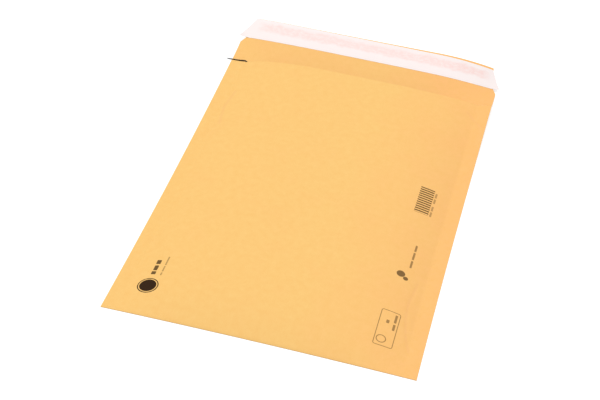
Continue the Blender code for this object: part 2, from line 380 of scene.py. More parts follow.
class MailerForm:
    """Where each point of the sheet and of its layers lies, worked out from the settings."""

    def __init__(self, scene):
        kraft = scene.mailer_kraft
        lining = scene.mailer_lining
        self.width = kraft.panel_width
        self.length = kraft.panel_length
        self.flap = kraft.flap_length
        self.seam = kraft.seam_width
        self.paper = kraft.paper_thickness
        self.lift = kraft.corner_lift
        self.rise = kraft.flap_rise
        self.stack = 2 * (self.paper + LAYER_GAP) + FILM_SEAL
        self.puff_rise = kraft.mouth_height - self.stack
        self.bubble_height = lining.bubble_height
        self.pitch = lining.bubble_pitch
        self.liner_start = LINER_REACH - LINER_DEPTH
        self.shoulder = self.liner_start - SHOULDER_LENGTH

    def fill(self, distance, reach):
        """Share of the full puff at a distance from an edge."""
        return 1 - (1 - clamped(distance / reach)) ** PUFF_POWER

    def inside_seam(self, x):
        """Distance from the nearer seam."""
        return min(x, self.width - x) - self.seam

    def puffed(self, x, y):
        """How far the panel has puffed out here, from 0 at a seam or the foot to 1."""
        return self.fill(self.inside_seam(x), self.width / 2 - self.seam) * self.fill(y, FOOT_REACH)

    def raised(self, x, y):
        """Outer face of the back panel, with its lifted mouth corner, and of the bent-up flap."""
        x = min(max(x, 0), self.width)
        across = max(x - (self.width - LIFT_WIDTH), 0) / LIFT_WIDTH
        beyond = y - self.length
        if beyond <= 0:
            along = max(y - (self.length - LIFT_LENGTH), 0) / LIFT_LENGTH
            return self.lift * across ** 2 * along ** 2
        along = max(1 - beyond / self.shoulder, 0)
        left = max(1 - x / LEFT_DROOP_WIDTH, 0)
        right = max(x - (self.width - RIGHT_DROOP_WIDTH), 0) / RIGHT_DROOP_WIDTH
        tip = self.rise - LEFT_DROOP * left ** 2 - RIGHT_DROOP * right ** 2
        bend = FLAP_BEND + FLAP_EDGE_BEND * abs(2 * x / self.width - 1) ** 3
        return self.lift * across ** 2 * along ** 2 + tip * (beyond / self.flap) ** bend

    def bubble_wave(self, x, y):
        """A hexagonal wave, 1 over each bubble's centre and -0.5 between the bubbles."""
        rate = 4 * math.pi / (math.sqrt(3) * self.pitch)
        turns = (0, math.pi / 3, 2 * math.pi / 3)
        return sum(math.cos(rate * (x * math.cos(t) + y * math.sin(t))) for t in turns) / 3

    def crease_depth(self, x, y):
        """How deep the creases cut here."""
        depth = 0
        for points, half_width, crease_depth in CREASES:
            near = min(
                segment_distance((x / MM, y / MM), start, end)
                for start, end in zip(points, points[1:])
            )
            depth += crease_depth * MM * math.exp(-(near / half_width) ** 2)
        return depth

    def unevenness(self, x, y):
        """Sags, seam puckers, bubbles showing through and creases of the front panel."""
        side = self.inside_seam(x)
        fade = clamped(side / DETAIL_FADE) * clamped(y / DETAIL_FADE)
        ease = clamped(side / SEAM_EASE)
        sag = noise.noise(Vector((x / SAG_SCALE, y / SAG_SCALE, SAG_SEED)))
        small_place = (x / SMALL_SAG_SCALE, y / SMALL_SAG_SCALE, SMALL_SAG_SEED)
        small_sag = noise.noise(Vector(small_place))
        pucker = noise.noise(Vector((side / PUCKER_REACH, y / PUCKER_SPACING, PUCKER_SEED)))
        near_seam = math.exp(-max(side, 0) / PUCKER_REACH)
        height = SAG_DEPTH * (sag + SMALL_SAG_SHARE * small_sag) * fade
        height += PUCKER_DEPTH * pucker * near_seam * ease * fade ** PUCKER_FADE
        height += BUBBLE_SHOW * self.bubble_wave(x, y) * fade * self.puffed(x, y)
        return height - self.crease_depth(x, y) * ease

    def front(self, x, y):
        """Outer face of the front panel."""
        y = min(y, self.length)
        rise = self.puff_rise * self.puffed(x, y)
        return self.raised(x, y) + self.stack + rise + self.unevenness(x, y)

    def panel_plan(self, x, y):
        """Plan position on the panels, whose sides and foot are drawn in by the puff."""
        across = x / self.width
        along = min(y / self.length, 1)
        side_bow = 4 * along * (1 - along)
        foot_bow = 4 * across * (1 - across)
        x += side_bow * (LEFT_DRAW * (1 - across) - RIGHT_DRAW * across)
        y += foot_bow * FOOT_DRAW * (1 - along)
        return x, y

    def flap_plan(self, x, y):
        """Plan position on the flap, tapered at its sides and cut slightly askew at its tip."""
        reach = y - self.length
        across = x / self.width
        shoulder = clamped((reach - self.shoulder) / SHOULDER_LENGTH)
        taper = max((reach - self.liner_start) / (self.flap - self.liner_start), 0)
        inset = SHOULDER_INSET * shoulder + (FLAP_TIP_INSET - SHOULDER_INSET) * taper
        x += inset * (1 - 2 * across)
        corner = max(1 - (self.width - x) / FLAP_CORNER, 0)
        cut = FLAP_CORNER_CUT * corner ** 2
        y += (FLAP_SKEW * across ** FLAP_SKEW_BEND - cut) * reach / self.flap
        return x, y

    def bubble_room(self, x, y):
        """Depth between the paper and the web, which the bubbles take up."""
        return FILM_SEAL / 2 + self.bubble_height * self.puffed(x, y)

    def place(self, x, y, z):
        """A point of the flat drawing, in the part's own frame."""
        return Vector((x - self.width / 2, y - self.length / 2, z))

    def front_point(self, x, y, inset=0):
        """A point of the front panel, at a depth inside its outer face."""
        return self.place(*self.panel_plan(x, y), self.front(x, y) - inset)

    def back_point(self, x, y, inset=0):
        """A point of the back panel, at a height inside its outer face."""
        return self.place(*self.panel_plan(x, y), self.raised(x, y) + inset)


def evenly(start, end, step):
    """Places from start to end, at most step apart."""
    count = max(1, math.ceil(abs(end - start) / step - STEP_SLACK))
    return [start + (end - start) * index / count for index in range(count + 1)]


def spaced(stops, steps):
    """Places from the first stop to the last, with each stretch between stops at its own step."""
    places = [stops[0]]
    for start, end, step in zip(stops, stops[1:], steps):
        places += evenly(start, end, step)[1:]
    return places


def new_object(name, data):
    """An object with the given data, linked to the scene."""
    made = bpy.data.objects.new(name, data)
    bpy.context.scene.collection.objects.link(made)
    return made


def bake_modifiers(piece, sharp_angle):
    """Turn the piece's modifiers into its own plain mesh."""
    graph = bpy.context.evaluated_depsgraph_get()
    old = piece.data
    piece.data = bpy.data.meshes.new_from_object(piece.evaluated_get(graph))
    piece.modifiers.clear()
    bpy.data.meshes.remove(old)
    piece.data.name = piece.name
    piece.data.shade_smooth()
    piece.data.set_sharp_from_angle(angle=math.radians(sharp_angle))


def sheet_mesh(name, columns, rows, place, thickness, outward_up=True):
    """A sheet over columns and rows. place gives a point and its flat position, which is kept
    as the UV map called Sheet, and the thickness goes to the side away from the outer face."""
    bm = bmesh.new()
    uv_layer = bm.loops.layers.uv.new("Sheet")
    last_column = len(columns) - 1
    last_row = len(rows) - 1
    bmesh.ops.create_grid(bm, x_segments=last_column, y_segments=last_row, size=1)
    flat = {}
    for vert in bm.verts:
        column = columns[round((vert.co.x + 1) / 2 * last_column)]
        row = rows[round((vert.co.y + 1) / 2 * last_row)]
        vert.co, flat[vert] = place(column, row)
    for face in bm.faces:
        for loop in face.loops:
            loop[uv_layer].uv = flat[loop.vert]
    if not outward_up:
        bmesh.ops.reverse_faces(bm, faces=bm.faces)
    mesh = bpy.data.meshes.new(name)
    bm.to_mesh(mesh)
    bm.free()
    piece = new_object(name, mesh)
    wall = piece.modifiers.new("Thickness", "SOLIDIFY")
    wall.thickness = thickness
    wall.offset = -1
    bake_modifiers(piece, sharp_angle=50)
    return piece


def grow(piece, tree, values, sharp_angle=50):
    """Run a geometry node tree on the piece, with values by name, and keep the mesh it makes."""
    growth = piece.modifiers.new(tree.name, "NODES")
    growth.node_group = tree
    for item in tree.interface.items_tree:
        if item.item_type == "SOCKET" and item.in_out == "INPUT" and item.name in values:
            growth[item.identifier] = values[item.name]
    bake_modifiers(piece, sharp_angle)


def dress(piece, material, cad_node):
    """Give the piece its material and tie it to the frame."""
    piece.data.materials.clear()
    piece.data.materials.append(material)
    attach(piece, "root")
    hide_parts(cad_node)


class Value:
    """A node's output, as a number, vector or colour. Arithmetic on a number adds a Math node
    for it."""

    def __init__(self, socket):
        self.socket = socket
        self.tree = socket.id_data

    def __getitem__(self, key):
        """An output of the same node, by name or number."""
        return Value(self.socket.node.outputs[key])

    def math(self, operation, *others):
        """A Math node's result, with this number as its first input."""
        return combine(self.tree, "ShaderNodeMath", operation, self, *others)

    def vector(self, operation, *others):
        """A Vector Math node's result: a vector, or a number for a length, distance or dot."""
        made = combine(self.tree, "ShaderNodeVectorMath", operation, self, *others)
        is_number = operation in ("LENGTH", "DISTANCE", "DOT_PRODUCT")
        return made["Value" if is_number else "Vector"]

    def scaled(self, factor):
        """This vector times a number."""
        inputs = {0: self, "Scale": factor}
        return node(self.tree, "ShaderNodeVectorMath", inputs, operation="SCALE")

    def clamped(self):
        """This number, kept from 0 to 1 by the Math node that it comes from."""
        self.socket.node.use_clamp = True
        return self

    def __add__(self, other):
        return self.math("ADD", other)

    def __sub__(self, other):
        return self.math("SUBTRACT", other)

    def __rsub__(self, other):
        return combine(self.tree, "ShaderNodeMath", "SUBTRACT", other, self)

    def __mul__(self, other):
        return self.math("MULTIPLY", other)

    def __truediv__(self, other):
        return self.math("DIVIDE", other)

    def __rtruediv__(self, other):
        return combine(self.tree, "ShaderNodeMath", "DIVIDE", other, self)

    def __pow__(self, other):
        return self.math("POWER", other)

    def __abs__(self):
        return self.math("ABSOLUTE")

    def __lt__(self, other):
        return self.math("LESS_THAN", other)

    def __gt__(self, other):
        return self.math("GREATER_THAN", other)


def set_inputs(made, inputs):
    """Give a node's inputs their constants, or link them to values."""
    for key, value in inputs.items():
        if isinstance(value, Value):
            value.tree.links.new(value.socket, made.inputs[key])
        else:
            made.inputs[key].default_value = value


def node(tree, kind, inputs=None, **settings):
    """Add a node with its settings and inputs, and give its first output."""
    made = tree.nodes.new(kind)
    for key, value in settings.items():
        setattr(made, key, value)
    set_inputs(made, inputs or {})
    return Value(made.outputs[0])


def combine(tree, kind, operation, *values):
    """Add a Math or Vector Math node for the values."""
    return node(tree, kind, dict(enumerate(values)), operation=operation)


def ramp(value, start, end, low, high):
    """A number that goes from low to high while the value goes from start to end."""
    inputs = {0: value, 1: start, 2: end, 3: low, 4: high}
    return node(value.tree, "ShaderNodeMapRange", inputs)


def stretched(vector, scale):
    """The coordinates, scaled along each axis."""
    return node(vector.tree, "ShaderNodeMapping", {"Vector": vector, "Scale": scale})


def noise_value(vector, scale, detail, roughness=0.5, distortion=0.0):
    """A Noise texture's value."""
    inputs = {"Vector": vector, "Scale": scale, "Detail": detail, "Roughness": roughness,
              "Distortion": distortion}
    return node(vector.tree, "ShaderNodeTexNoise", inputs)


def blend_colors(factor, first, second):
    """A Mix node's colour."""
    inputs = {0: factor, 6: first, 7: second}
    return node(factor.tree, "ShaderNodeMix", inputs, data_type="RGBA")[2]


def relief(height, strength, distance):
    """A Bump node's normal, for relief too fine to model."""
    inputs = {"Strength": strength, "Distance": distance, "Height": height}
    return node(height.tree, "ShaderNodeBump", inputs)


def strongest(masks):
    """The union of several masks."""
    union = masks[0]
    for mask in masks[1:]:
        union = union.math("MAXIMUM", mask)
    return union


def shared_group(name, inputs, wire):
    """The shader group of this name, made when first asked for. Its inputs are numbers with
    their values, or vectors where the value is None, and wire gives its outputs."""
    if name in bpy.data.node_groups:
        return bpy.data.node_groups[name]
    tree = bpy.data.node_groups.new(name, "ShaderNodeTree")
    for label, value in inputs.items():
        kind = "NodeSocketVector" if value is None else "NodeSocketFloat"
        socket = tree.interface.new_socket(label, in_out="INPUT", socket_type=kind)
        if value is not None:
            socket.default_value = value
    results = wire(node(tree, "NodeGroupInput"))
    for label in results:
        tree.interface.new_socket(label, in_out="OUTPUT", socket_type="NodeSocketFloat")
    set_inputs(tree.nodes.new("NodeGroupOutput"), results)
    return tree


def grouped(group, inputs):
    """Place a group in the tree that its sheet coordinates come from."""
    return node(inputs["Sheet"].tree, "ShaderNodeGroup", inputs, node_tree=group)


def fibre_grain():
    """Paper fibres: fine flecks that run along the sheet, and single strands, over a soft
    mottling and cloudiness."""
    def wire(given):
        sheet = given["Sheet"]
        along = stretched(sheet, (1, 0.35, 1))
        rate = 1 / given["Fleck size"]
        flecks = noise_value(along, rate, 4, roughness=0.65)
        fibres = noise_value(along, rate * 3.1, 3, distortion=1.2)
        mottle = noise_value(sheet, rate * 0.22, 2)
        curls = noise_value(along, rate * 0.5, 1, distortion=2.5)
        strands = ramp(abs(curls - 0.5), 0.0, 0.012, 1, 0) * (flecks > 0.56)
        return {
            "Tone": flecks * 0.35 + fibres * 0.3 + mottle * 0.35 - strands * 0.2,
            "Cloud": noise_value(sheet, 1 / given["Cloud size"], 2),
        }

    inputs = {"Sheet": None, "Fleck size": 1.2 * MM, "Cloud size": 30 * MM}
    return shared_group("Fibre grain", inputs, wire)


def ink_block():
    """Mask of one printed block with round corners. A block with no size is a disc."""
    def wire(given):
        folded = given["Sheet"].vector("SUBTRACT", given["Centre"]).vector("ABSOLUTE")
        outside = folded.vector("SUBTRACT", given["Half size"]).vector("MAXIMUM", (0, 0, 0))
        distance = outside.vector("MULTIPLY", (1, 1, 0)).vector("LENGTH")
        return {"Mask": (1 - (distance - given["Corner"]) / INK_EDGE).clamped()}

    inputs = {"Sheet": None, "Centre": None, "Half size": None, "Corner": 0.0}
    return shared_group("Ink block", inputs, wire)


def crease_line():
    """Mask of one straight run of a crease, soft to both sides."""
    def wire(given):
        run = given["Run"]
        offset = given["Sheet"].vector("SUBTRACT", given["Start"])
        share = (offset.vector("DOT_PRODUCT", run) / run.vector("DOT_PRODUCT", run)).clamped()
        off = offset.vector("DISTANCE", run.scaled(share))
        return {"Mask": (1 - off / given["Half width"]).clamped()}

    inputs = {"Sheet": None, "Start": None, "Run": None, "Half width": 1 * MM}
    return shared_group("Crease line", inputs, wire)


def bubble_lattice():
    """Distance from the nearest bubble's centre, on the film's hexagonal lattice."""
    def wire(given):
        sheet = given["Sheet"]
        pitch = given["Pitch"]
        high = node(sheet.tree, "ShaderNodeCombineXYZ", {
            0: pitch * (math.sqrt(3) / 2), 1: pitch * 0.5, 2: 1})
        low = high.scaled(-1)
        shifted = sheet.vector("ADD", high).vector("MULTIPLY", (1, 1, 0))
        even, odd = [spot.vector("WRAP", high, low).vector("LENGTH") for spot in (sheet, shifted)]
        return {"Distance": even.math("MINIMUM", odd)}

    return shared_group("Bubble lattice", {"Sheet": None, "Pitch": 10.5 * MM}, wire)


def crease_shade_marks(sheet):
    """Painted shade along the creases: how much of the darker, redder tone each point takes."""
    masks = []
    for points, half_width, _ in CREASES:
        for start, end in zip(points, points[1:]):
            run = (Vector(end) - Vector(start)) * MM
            masks.append(grouped(crease_line(), {
                "Sheet": sheet,
                "Start": (start[0] * MM, start[1] * MM, 0),
                "Run": (*run, 0),
                "Half width": half_width * CREASE_SHADE_SPREAD * MM,
            }))
    return strongest(masks)


def print_block(sheet, across, along, half_width, half_length, corner):
    """Mask of a block of ink, sizes in mm, corners rounded inside its outline."""
    return grouped(ink_block(), {
        "Sheet": sheet,
        "Centre": (across * MM, along * MM, 0),
        "Half size": ((half_width - corner) * MM, (half_length - corner) * MM, 0),
        "Corner": corner * MM,
    })


def print_disc(sheet, across, along, radius):
    """Mask of a round spot of ink."""
    return print_block(sheet, across, along, radius, radius, radius)


def print_ring(sheet, across, along, radius, hole):
    """Mask of a ring of ink."""
    rim = print_disc(sheet, across, along, radius)
    return (rim - print_disc(sheet, across, along, hole)).clamped()


def print_stripes(sheet):
    """Mask of a field of even stripes."""
    along = node(sheet.tree, "ShaderNodeSeparateXYZ", {0: sheet})["Y"]
    phase = (along / STRIPE_PITCH).math("FRACT")
    return print_block(sheet, *STRIPE_FIELD) * (phase < STRIPE_SHARE)


def print_outline(sheet):
    """Mask of a plain outlined box."""
    across, along, *sizes = OUTLINE_BOX
    inner = print_block(sheet, across, along, *[size - OUTLINE_WIDTH for size in sizes])
    return (print_block(sheet, *OUTLINE_BOX) - inner).clamped()


def print_marks(sheet):
    """Plain generic marks: how much ink lies on each point of the front panel."""
    def blocks(*rows):
        return [print_block(sheet, *block) for row in rows for block in row]

    across, along, rim, hole, core = ROUNDEL
    roundel = [print_ring(sheet, across, along, rim, hole), print_disc(sheet, across, along, core)]
    box = [print_outline(sheet), print_ring(sheet, *BOX_RING)]
    layers = (
        (roundel, 1.0),
        (blocks(ROUNDEL_BLOCKS), 0.86),
        ([print_stripes(sheet)], 0.84),
        ([print_disc(sheet, *disc) for disc in DISCS], 0.78),
        (blocks(DISC_DASHES, BOX_DASHES) + box, 0.6),
        (blocks(ROUNDEL_DASHES, STRIPE_DASHES), 0.45),
    )
    return strongest([strongest(masks) * weight for masks, weight in layers])


def new_material(name):
    """A material with its tree and its shader."""
    material = bpy.data.materials.new(name)
    material.use_nodes = True
    return material, material.node_tree, material.node_tree.nodes["Principled BSDF"]


def sheet_place(tree):
    """The point's place on the flat sheet."""
    return node(tree, "ShaderNodeUVMap", uv_map="Sheet")


def object_place(tree):
    """The point's place in the part's own frame."""
    return node(tree, "ShaderNodeTexCoord")["Object"]


def make_kraft_paper(settings):
    """Golden kraft with fibre flecks, a redder drift towards the right seam that is painted shade,
    painted shade along the creases, and the printed marks.
    """
    material, tree, shader = new_material("Golden kraft paper")
    sheet = sheet_place(tree)
    grain = grouped(fibre_grain(), {"Sheet": sheet})
    split = node(tree, "ShaderNodeSeparateXYZ", {0: sheet})
    # Painted shade: redder towards the right seam, standing in for the shade of the slope that falls
    # to it
    drift = ramp(split["X"], *PAINTED_SHADE_DRIFT, 0.0, 0.85)
    inner = (split["Y"] < 0) * 0.45
    warmth = ((grain["Cloud"] - 0.5) * 0.7 + (drift + inner)).clamped()
    base = blend_colors(warmth, settings.golden, settings.warm)
    fibrous = (grain["Tone"] * -2.0 + 1.3).clamped()
    flecked = blend_colors(fibrous, base, FLECK_COLOR)
    # Painted shade: a darker, redder tone along the creases
    crease_shaded = blend_colors(crease_shade_marks(sheet) * 0.3, flecked, CREASE_SHADE_COLOR)
    set_inputs(shader, {
        "Base Color": blend_colors(print_marks(sheet), crease_shaded, settings.ink),
        "Roughness": grain["Tone"] * 0.16 + 0.54,
        "Specular IOR Level": 0.1,
        "Normal": relief(grain["Tone"], 0.25, 0.05 * MM),
    })
    return material


def make_film(settings):
    """Clear film: mostly see-through, milky at the seal rings and between the bubbles, more opaque up
    each dome's rim as a painted reflection of film seen at a slant, and with soft streaks from its
    making."""
    material, tree, shader = new_material("Clear bubble film")
    radius = settings.bubble_diameter / 2
    inputs = {"Sheet": sheet_place(tree), "Pitch": settings.bubble_pitch}
    off_centre = grouped(bubble_lattice(), inputs)
    ring = ramp(abs(off_centre - radius), *FILM_RIM, 1, 0)
    between = (off_centre > radius) * 0.35
    # Painted reflection: each dome is drawn more opaque towards its rim, standing in for the glare of
    # film seen at a slant
    painted_rim_glare = node(tree, "ShaderNodeAttribute", attribute_name="rim")["Fac"]
    streaks = noise_value(stretched(object_place(tree), (120, 14, 120)), 3, 3)
    clear = ramp(streaks, 0.3, 0.7, 0.08, 0.17)
    set_inputs(shader, {
        "Base Color": blend_colors(streaks, settings.film, FILM_STREAK_COLOR),
        "Alpha": strongest([ring, between, painted_rim_glare]) * 0.36 + clear,
        "Roughness": ramp(streaks, 0.3, 0.7, 0.14, 0.3),
        "Normal": relief(streaks, 0.3, 0.1 * MM),
    })
    return material


def make_liner_paper(settings):
    """Siliconed liner: white, with pinkish blotches where it has wetted out on the adhesive."""
    material, tree, shader = new_material("Siliconed liner paper")
    sheet = sheet_place(tree)
    inputs = {"Sheet": sheet, "Fleck size": 0.8 * MM, "Cloud size": 14 * MM}
    grain = grouped(fibre_grain(), inputs)
    split = node(tree, "ShaderNodeSeparateXYZ", {0: sheet})
    shifted = noise_value(sheet, 90, 2) * BLOTCH_WANDER + split["Y"]
    middle = ADHESIVE_OFFSET + (ADHESIVE_DEPTH + BLOTCH_WANDER) / 2
    band = ramp(abs(shifted - middle), *BLOTCH_BAND, 1.0, 0.0)
    from_left = ramp(split["X"], *BLOTCH_LEFT, 0.0, 1.0)
    from_right = ramp(split["X"], *BLOTCH_RIGHT, 1.0, 0.0)
    clots = noise_value(stretched(sheet, (1, 1.4, 1)), 240, 4, roughness=0.65)
    clotted = ramp(clots, 0.33, 0.62, 0.3, 1.0)
    wetted = band * clotted * (from_left * from_right)
    tint = (grain["Cloud"] * 0.25 + wetted).clamped()
    base = blend_colors(tint, settings.liner, settings.blotch)
    shade = {"Color": base, "Value": grain["Tone"] * 0.02 + 0.99}
    set_inputs(shader, {
        "Base Color": node(tree, "ShaderNodeHueSaturation", shade),
        "Roughness": wetted * -0.12 + 0.4,
        "Normal": relief(clots, 0.3, 0.08 * MM),
    })
    return material


def make_adhesive(settings):
    """Hot-melt adhesive, rolled on in uneven ridges."""
    material, tree, shader = new_material("Hot-melt adhesive")
    ridges = noise_value(stretched(sheet_place(tree), (1, 5, 1)), 120, 3)
    set_inputs(shader, {
        "Base Color": blend_colors(ridges, settings.adhesive, ADHESIVE_RIDGE_COLOR),
        "Roughness": 0.3,
        "Normal": relief(ridges, 0.5, 0.15 * MM),
    })
    return material


def make_yarn(settings):
    """Black spun yarn with fine lighter hairs."""
    material, tree, shader = new_material("Black yarn")
    hairs = noise_value(stretched(object_place(tree), (700, 5200, 5200)), 1, 3)
    worn = ramp(hairs, 0.5, 0.8, 0.0, 0.2)
    set_inputs(shader, {
        "Base Color": blend_colors(worn, settings.yarn, YARN_HAIR_COLOR),
        "Roughness": 0.85,
        "Sheen Weight": 0.1,
        "Normal": relief(hairs, 0.6, 0.05 * MM),
    })
    return material


def make_table_top(settings):
    """Pale table: plain, with an extra white that only the camera sees, so shadows stay faint."""
    material, tree, shader = new_material("Pale table")
    set_inputs(shader, {"Base Color": settings.floor, "Roughness": 0.9, "Specular IOR Level": 0.0})
    rays = node(tree, "ShaderNodeLightPath")
    kinds = ("Is Camera Ray", "Is Glossy Ray", "Is Transmission Ray")
    strength = strongest([rays[kind] for kind in kinds]) * settings.floor_glow
    glow = node(tree, "ShaderNodeEmission", {"Color": (1, 1, 1, 1), "Strength": strength})
    both = node(tree, "ShaderNodeAddShader", {0: Value(shader.outputs[0]), 1: glow})
    set_inputs(tree.nodes["Material Output"], {"Surface": both})
    return material


class MAILER_OT_stage(bpy.types.Operator):
    """Set up the table, the light and the camera"""
    bl_idname = "mailer.stage"
    bl_label = "Stage"

    def execute(self, context):
        settings = context.scene.mailer_stage
        self.lay_floor(settings)
        self.light(context.scene, settings)
        self.set_camera(context.scene, settings)
        return {"FINISHED"}

    def lay_floor(self, settings):
        """A wide table just under the mailer."""
        bpy.ops.mesh.primitive_plane_add(size=FLOOR_SIZE, location=(0, 0, -FLOOR_GAP))
        floor = bpy.context.object
        floor.name = "table_top"
        floor.data.materials.append(make_table_top(settings))

    def light(self, scene, settings):
        """Even light from all round, seen as white, and a softbox overhead."""
        world = bpy.data.worlds.new("Studio")
        world.use_nodes = True
        tree = world.node_tree
        tree.nodes.clear()
        rays = node(tree, "ShaderNodeLightPath")
        seen = strongest([rays["Is Camera Ray"], rays["Is Transmission Ray"]])
        strength = ramp(seen, 0.0, 1.0, settings.world_strength, 1.0)
        sky = node(tree, "ShaderNodeBackground", {"Color": (1, 1, 1, 1), "Strength": strength})
        set_inputs(tree.nodes.new("ShaderNodeOutputWorld"), {"Surface": sky})
        scene.world = world

        lamp = bpy.data.lights.new("Softbox", "AREA")
        lamp.shape = "RECTANGLE"
        lamp.size, lamp.size_y = SOFTBOX_SIZE
        lamp.energy = settings.lamp_power
        softbox = new_object("softbox", lamp)
        softbox.location = SOFTBOX_PLACE
        softbox.rotation_euler = (-softbox.location).to_track_quat("-Z", "Y").to_euler()
        scene.view_settings.view_transform = "Standard"

    def set_camera(self, scene, settings):
        """The camera of the photograph."""
        lens = bpy.data.cameras.new("Camera")
        lens.sensor_width = SENSOR_WIDTH
        lens.sensor_fit = "HORIZONTAL"
        lens.lens = settings.camera_lens
        camera = new_object("camera", lens)
        turn = Matrix.Rotation(settings.camera_azimuth, 3, "Z")
        turn @= Matrix.Rotation(math.pi / 2 - settings.camera_elevation, 3, "X")
        turn @= Matrix.Rotation(settings.camera_roll, 3, "Z")
        camera.location = settings.camera_place
        camera.rotation_euler = turn.to_euler()
        scene.camera = camera


class MAILER_OT_kraft_sheet(bpy.types.Operator):
    """Fold the kraft sheet: front panel, foot fold, back panel and flap"""
    bl_idname = "mailer.kraft_sheet"
    bl_label = "Kraft sheet"

    def execute(self, context):
        form = MailerForm(context.scene)
        left = (0, form.seam, FINE_REACH)
        stops = (*left, *[form.width - x for x in reversed(left)])
        columns = spaced(stops, (PANEL_STEP, FINE_STEP, PANEL_STEP, FINE_STEP, PANEL_STEP))
        piece = sheet_mesh(
            "kraft_sheet", columns, self.fold_rows(form),
            lambda x, row: self.place(form, x, row), form.paper, outward_up=False)
        material = make_kraft_paper(context.scene.mailer_kraft)
        dress(piece, material, "kraft_envelope")
        return {"FINISHED"}

    def fold_rows(self, form):
        """Rows in the order of the flat sheet: its front, the fold, its back, then the flap."""
        radius = form.stack / 2
        front = [("front", y) for y in reversed(evenly(radius, form.length, PANEL_STEP))]
        fold = [("fold", math.radians(angle)) for angle in FOLD_ANGLES]
        back = [("back", y) for y in evenly(radius, form.length, BACK_STEP)]
        stops = (1 * MM, form.shoulder, form.liner_start, form.flap)
        flap = [("flap", form.length + reach) for reach in spaced(stops, (PANEL_STEP,) * 3)]
        return front + fold + back + flap

    def place(self, form, x, row):
        """A point of the folded sheet, and its place on the flat one: the back and the flap have
        negative lengths there, so that print and fibres differ from the front's."""
        part, value = row
        radius = form.stack / 2
        if part == "front":
            return form.front_point(x, value), (x, value)
        if part == "fold":
            plan = form.panel_plan(x, radius * (1 - math.cos(value)))
            return form.place(*plan, radius * (1 + math.sin(value))), (x, radius * value)
        if part == "back":
            return form.back_point(x, value), (x, -value)
        plan = form.flap_plan(x, value)
        return form.place(*plan, form.raised(*plan)), (x, -value)


class MAILER_OT_bubble_lining(bpy.types.Operator):
    """Line the pouch with bubble film: the flat web, and the bubbles between it and the paper"""
    bl_idname = "mailer.bubble_lining"
    bl_label = "Bubble lining"

    def execute(self, context):
        form = MailerForm(context.scene)
        settings = context.scene.mailer_lining
        film = make_film(settings)
        dress(self.make_web(form), film, "bubble_lining")
        bubbles = self.make_bubbles(form, settings, film)
        dress(bubbles, film, "bubble_lining")
        return {"FINISHED"}

    def web_point(self, form, x, y, side):
        """The web's face on its bubbles' side, over the pouch for side 1 and under it for -1."""
        inset = form.paper + LAYER_GAP + form.bubble_room(x, y)
        return form.front_point(x, y, inset) if side > 0 else form.back_point(x, y, inset)

    def make_web(self, form):
        """The film's flat web, folded at the foot."""
        stops = (WEB_EDGE, form.seam, form.width - form.seam, form.width - WEB_EDGE)
        columns = spaced(stops, (WEB_STEP,) * 3)
        lengths = evenly(WEB_FOOT, form.length - MOUTH_SETBACK, WEB_ROW_STEP)
        rows = [(1, y) for y in reversed(lengths)] + [(-1, y) for y in lengths]

        def place(x, row):
            side, y = row
            return self.web_point(form, x, y, side), (x, side * y)

        return sheet_mesh("film_web", columns, rows, place, WEB_THICKNESS, outward_up=False)

    def bubble_centres(self, form, radius):
        """Centres of the film's hexagonal lattice, clear of its seams, foot and mouth."""
        across_pitch = form.pitch * math.sqrt(3) / 2
        for column in range(int(form.width / across_pitch) + 1):
            x = column * across_pitch
            if not form.seam + radius < x < form.width - form.seam - radius:
                continue
            for row in range(int(form.length / form.pitch) + 1):
                y = (row + column % 2 / 2) * form.pitch
                if radius + BUBBLE_FOOT < y < form.length - MOUTH_SETBACK - radius:
                    yield x, y

    def make_bubbles(self, form, settings, film):
        """Bubbles between the web and the paper, standing square on the web."""
        points, turns, swells = [], [], []
        for side in (1, -1):
            for x, y in self.bubble_centres(form, settings.bubble_diameter / 2):
                spot = self.web_point(form, x, y, side)
                along_x = self.web_point(form, x + PANEL_STEP, y, side) - spot
                along_y = self.web_point(form, x, y + PANEL_STEP, side) - spot
                normal = along_x.cross(along_y).normalized() * side
                points.append(spot + normal * BUBBLE_CLEARANCE)
                turns.append(normal.to_track_quat("Z", "Y").to_euler())
                swells.append(form.bubble_room(x, y) * BUBBLE_SWELL)
        mesh = bpy.data.meshes.new("film_bubbles")
        mesh.from_pydata(points, [], [])
        turn = mesh.attributes.new("turn", "FLOAT_VECTOR", "POINT")
        turn.data.foreach_set("vector", [value for euler in turns for value in euler])
        swell = mesh.attributes.new("swell", "FLOAT", "POINT")
        swell.data.foreach_set("value", swells)
        bubbles = new_object("film_bubbles", mesh)
        grow(bubbles, bubble_tree(), {
            "Diameter": settings.bubble_diameter, "Sides": settings.bubble_sides,
            "Material": film})
        return bubbles


def new_geometry_tree(name, inputs):
    """A geometry node tree with the given inputs, and its input node."""
    tree = bpy.data.node_groups.new(name, "GeometryNodeTree")
    face = tree.interface
    for label, kind in {"Geometry": "Geometry", **inputs, "Material": "Material"}.items():
        face.new_socket(label, in_out="INPUT", socket_type="NodeSocket" + kind)
    face.new_socket("Geometry", in_out="OUTPUT", socket_type="NodeSocketGeometry")
    return tree, node(tree, "NodeGroupInput")


def end_geometry_tree(tree, geometry, material):
    """Realize the copies and give them their material, as the last two nodes."""
    real = node(tree, "GeometryNodeRealizeInstances", {"Geometry": geometry})
    inputs = {"Geometry": real, "Material": material}
    finished = node(tree, "GeometryNodeSetMaterial", inputs)
    set_inputs(tree.nodes.new("NodeGroupOutput"), {"Geometry": finished})
    return tree


